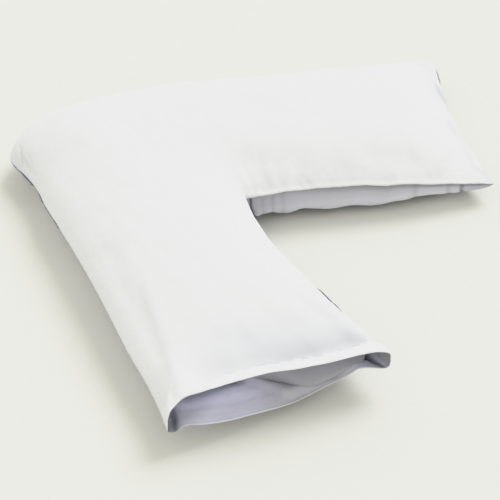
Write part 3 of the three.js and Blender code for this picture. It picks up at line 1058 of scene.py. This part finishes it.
def stitch_row(name, faces, looks):
    """A row of stitches across the hem: grains with pointed ends, bedded in the panel's upper face. Each is a
    few rings round a line on that face, of a radius that swells as a half sine from end to end."""
    middles = np.arange(6 * MM, ARM - 6 * MM, looks.stitch * STITCH_PITCH)
    ring = np.linspace(0.04, 0.96, STITCH_RINGS)
    around = np.arange(STITCH_SIDES) * 2 * math.pi / STITCH_SIDES
    p = middles[:, None] + (ring[None, :] - 0.5) * looks.stitch
    q = np.full_like(p, LEG - looks.hem)
    centre, _, away = faces(p, q, looks)
    along = np.gradient(centre, axis=1)
    along /= np.linalg.norm(along, axis=-1, keepdims=True)
    across = np.cross(along, away)
    radius = STITCH_RADIUS * np.sin(math.pi * ring)[None, :, None, None]
    lift = centre + away * STITCH_LIFT
    turn = away[:, :, None] * np.sin(around)[:, None] + across[:, :, None] * np.cos(around)[:, None]
    points = lift[:, :, None] + turn * radius
    sides = np.arange(STITCH_SIDES)
    each = STITCH_RINGS * STITCH_SIDES
    base = sides[None, :] + np.arange(STITCH_RINGS - 1)[:, None] * STITCH_SIDES
    beside = np.roll(sides, -1)[None, :] + np.arange(STITCH_RINGS - 1)[:, None] * STITCH_SIDES
    quads = np.stack([base, beside, beside + STITCH_SIDES, base + STITCH_SIDES], axis=-1).reshape(-1, 4)
    starts = np.arange(len(middles)) * each
    walls = (quads[None] + starts[:, None, None]).reshape(-1, 4).tolist()
    first = (sides[::-1][None] + starts[:, None]).tolist()
    last = (sides[None] + starts[:, None] + each - STITCH_SIDES).tolist()
    mesh = bpy.data.meshes.new(name)
    mesh.from_pydata(points.reshape(-1, 3), [], walls + first + last)
    mesh.polygons.foreach_set("use_smooth", np.ones(len(mesh.polygons), dtype=bool))
    mesh.update()
    return add_object(name, mesh)


class PILLOW_OT_stitches(bpy.types.Operator):
    """Makes the rows of stitches that hold the two hems at the mouth"""

    bl_idname = "v_pillow.stitches"
    bl_label = "Hem stitches"

    def execute(self, context):
        looks = context.scene.v_pillow
        rows = (
            ("hem_stitches_top", top_faces, "cotton_white"),
            ("hem_stitches_underside", underside_faces, "cotton_lilac"),
        )
        for name, faces, slot in rows:
            piece = stitch_row(name, faces, looks)
            piece.data.materials.append(material_for("white_thread", thread, tuple(looks.white)))
            finish_piece(piece, None)
        return {"FINISHED"}


class PILLOW_OT_stage(bpy.types.Operator):
    """Makes the floor, the soft studio light and the camera"""

    bl_idname = "v_pillow.stage"
    bl_label = "Stage"

    def execute(self, context):
        scene = context.scene
        mesh = bpy.data.meshes.new("floor")
        corners = [(FLOOR_HALF * x, FLOOR_HALF * y, 0) for x, y in ((-1, -1), (1, -1), (1, 1), (-1, 1))]
        mesh.from_pydata(corners, [], [(0, 1, 2, 3)])
        floor = add_object("floor", mesh)
        mesh.materials.append(floor_paint(tuple(scene.v_pillow.floor)))
        make_light(scene)
        make_camera(scene)
        return {"FINISHED"}


def make_camera(scene):
    """The camera stands off the look-at point along its azimuth and elevation, and looks back at it."""
    turn, lift = math.radians(CAMERA_AZIMUTH), math.radians(CAMERA_ELEVATION)
    back = Vector((math.sin(turn) * math.cos(lift), -math.cos(turn) * math.cos(lift), math.sin(lift)))
    camera = add_object("camera", bpy.data.cameras.new("camera"))
    camera.data.lens = CAMERA_LENS
    camera.data.sensor_width = CAMERA_SENSOR
    camera.location = LOOK_AT + back * CAMERA_DISTANCE
    camera.rotation_mode = "QUATERNION"
    camera.rotation_quaternion = (-back).to_track_quat("-Z", "Y")
    scene.camera = camera


def soften_highlights(view):
    """Bends the picture's brightest tones over, as a product photograph's are."""
    view.use_curve_mapping = True
    mapping = view.curve_mapping
    mapping.use_clip = False
    mapping.extend = "HORIZONTAL"
    combined = mapping.curves[3]
    combined.points[1].location = HIGHLIGHTS[-1]
    for place in HIGHLIGHTS[:-1]:
        combined.points.new(*place)
    mapping.update()


def make_light(scene):
    """One large soft key light from the back right, and an even pale surround."""
    scene.view_settings.view_transform = "Standard"
    soften_highlights(scene.view_settings)
    key = add_object("key", bpy.data.lights.new("key", "SUN"))
    key.data.angle = KEY_ANGLE
    key.data.energy = KEY_STRENGTH
    key.data.color = KEY_COLOUR
    key.rotation_mode = "QUATERNION"
    key.rotation_quaternion = Vector(KEY_FROM).to_track_quat("Z", "Y")
    world = bpy.data.worlds.new("surround")
    world.use_nodes = True
    surround = world.node_tree.nodes["Background"]
    socket(surround, "Color", SURROUND_COLOUR)
    socket(surround, "Strength", SURROUND_STRENGTH)
    scene.world = world


class PILLOW_PT_panel(bpy.types.Panel):
    """Lists the pieces and their settings"""

    bl_idname = "PILLOW_PT_panel"
    bl_label = "V Shaped Pillow"
    bl_space_type = "VIEW_3D"
    bl_region_type = "UI"
    bl_category = "V Pillow"

    def draw(self, context):
        for name in PillowLooks.__annotations__:
            self.layout.prop(context.scene.v_pillow, name)
        for operator in OPERATORS:
            self.layout.operator(operator.bl_idname)


OPERATORS = (
    PILLOW_OT_pillow,
    PILLOW_OT_case_underside,
    PILLOW_OT_case_top,
    PILLOW_OT_stitches,
    PILLOW_OT_stage,
)
CLASSES = (PillowLooks, *OPERATORS, PILLOW_PT_panel)


def register():
    for cls in CLASSES:
        bpy.utils.register_class(cls)
    bpy.types.Scene.v_pillow = PointerProperty(type=PillowLooks)


def unregister():
    del bpy.types.Scene.v_pillow
    for cls in reversed(CLASSES):
        bpy.utils.unregister_class(cls)


def main():
    register()
    bpy.ops.v_pillow.pillow()
    bpy.ops.v_pillow.case_underside()
    bpy.ops.v_pillow.case_top()
    bpy.ops.v_pillow.stitches()
    bpy.ops.v_pillow.stage()


if __name__ == "__main__":
    main()
